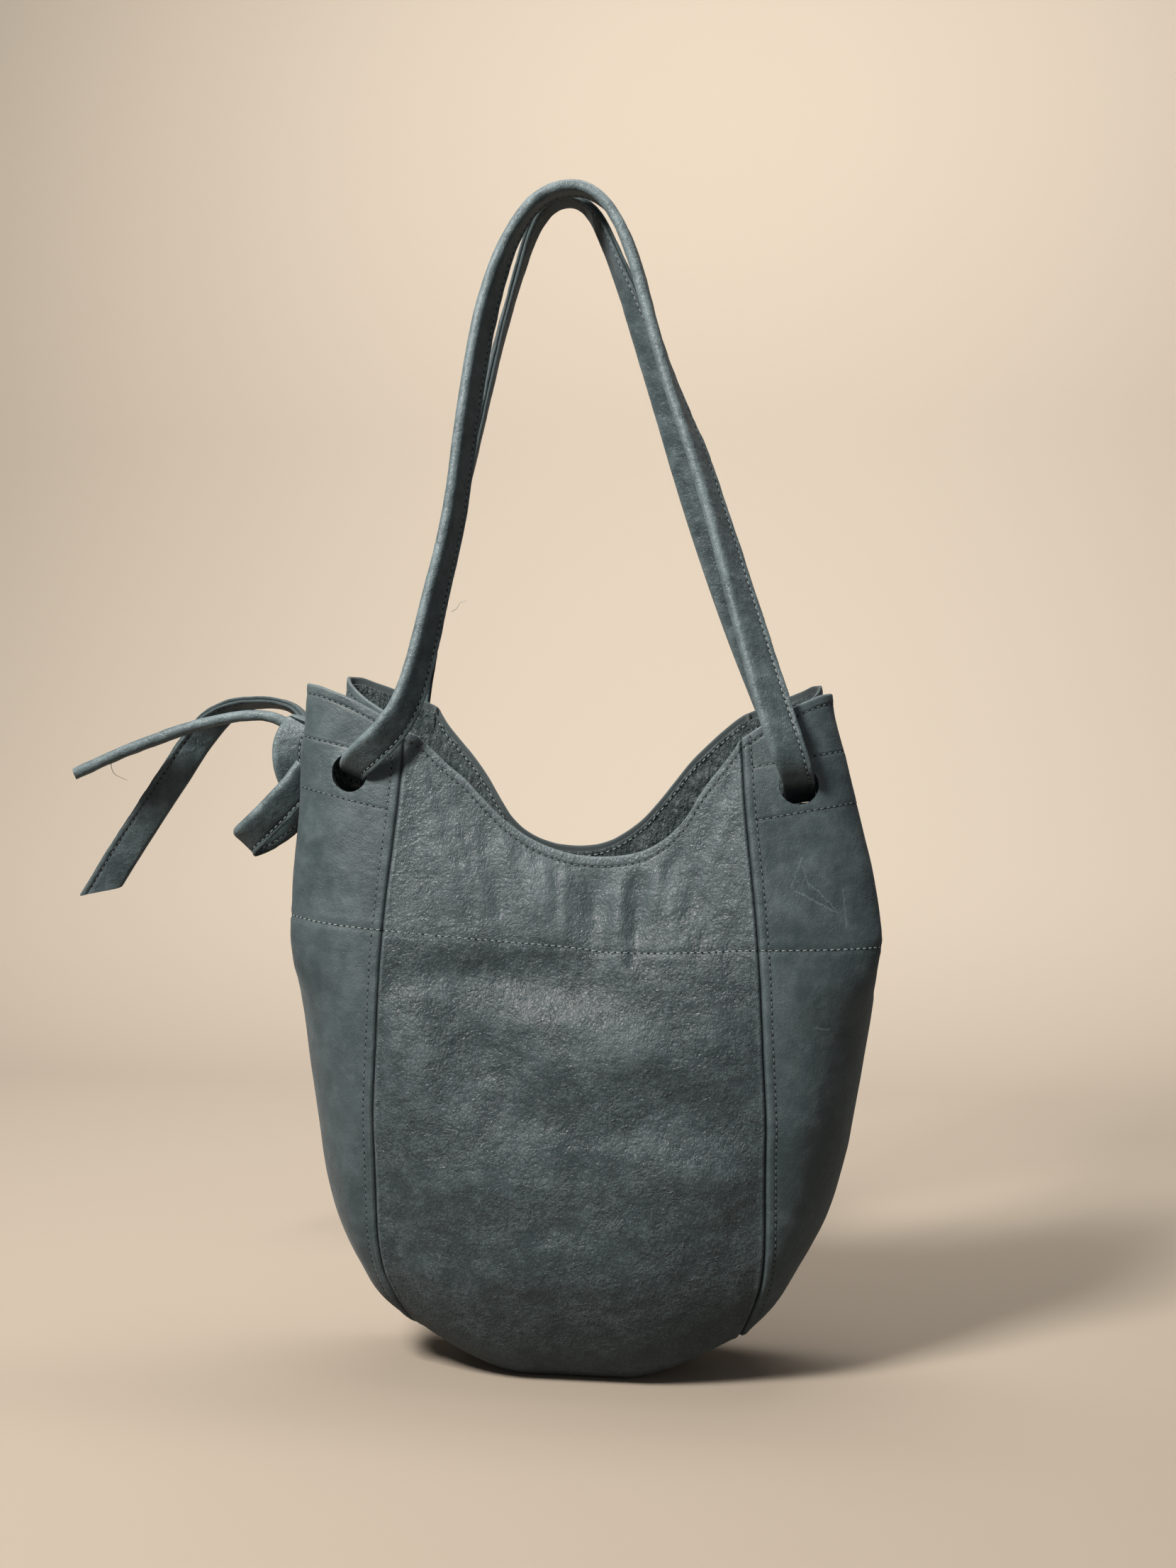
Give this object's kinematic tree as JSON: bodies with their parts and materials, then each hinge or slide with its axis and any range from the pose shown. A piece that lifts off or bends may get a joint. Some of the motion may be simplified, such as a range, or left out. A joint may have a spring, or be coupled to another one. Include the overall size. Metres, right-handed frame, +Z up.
{
  "type": "hobo bag",
  "caption": "Soft leather bucket shoulder bag with scooped top edge, folded side gussets and one long strap threaded through side holes as two handle loops tied in a bow.",
  "frame": {"origin": "middle of the flat base patch under the bag, where it stands on a table", "axes": "+X to the wearer-facing front's right as seen from the front, +Y to the back of the bag, +Z up towards the handle loops"},
  "size_m": [0.47, 0.1319, 0.6644],
  "materials": {
    "body_leather": "pebbled pull-up leather, slate teal, soft satin sheen",
    "gusset_leather": "finer-grained pull-up leather, slate teal, soft satin sheen",
    "facing_leather": "crinkled leather facing, grain side to the inside",
    "flesh_side": "suede flesh side, matte",
    "strap_leather": "folded and stitched strap leather, slate teal, satin",
    "thread": "bonded thread, slightly lighter than the leather"
  },
  "bodies": {
    "bag": {"body_panel": "body_leather", "left_gusset": "gusset_leather", "right_gusset": "gusset_leather", "front_facing": "facing_leather", "back_facing": "facing_leather", "left_gusset_facing": "facing_leather", "right_gusset_facing": "facing_leather", "left_hole_band": "flesh_side", "right_hole_band": "flesh_side", "strap_right_pass": "strap_leather", "strap_left_front_run": "strap_leather", "strap_left_back_run": "strap_leather", "bow_knot": "strap_leather"},
    "front_handle": {"front_handle_strap": "strap_leather"},
    "back_handle": {"back_handle_strap": "strap_leather"},
    "bow": {"bow_loop": "strap_leather"},
    "tail_a": {"upper_tail": "strap_leather"},
    "tail_b": {"lower_tail": "strap_leather"}
  },
  "joints": [
    {"name": "front_handle_swing", "type": "hinge", "parent": "bag", "child": "front_handle", "pos_m": [0, -0.049, 0.3282], "axis": [0.9996, 0, -0.0274], "range_deg": [0, 150]},
    {"name": "back_handle_swing", "type": "hinge", "parent": "bag", "child": "back_handle", "pos_m": [0, 0.049, 0.3282], "axis": [-0.9996, 0, 0.0274], "range_deg": [0, 150]},
    {"name": "bow_loop_lift", "type": "hinge", "parent": "bag", "child": "bow", "pos_m": [-0.1635, -0.009, 0.32], "axis": [0, 1, 0], "range_deg": [-6, 25]},
    {"name": "upper_tail_droop", "type": "hinge", "parent": "bag", "child": "tail_a", "pos_m": [-0.1825, 0, 0.3646], "axis": [0, -1, 0], "range_deg": [-20, 25]},
    {"name": "lower_tail_droop", "type": "hinge", "parent": "bag", "child": "tail_b", "pos_m": [-0.171, 0.0175, 0.3725], "axis": [0, -1, 0], "range_deg": [-25, 30]}
  ]
}
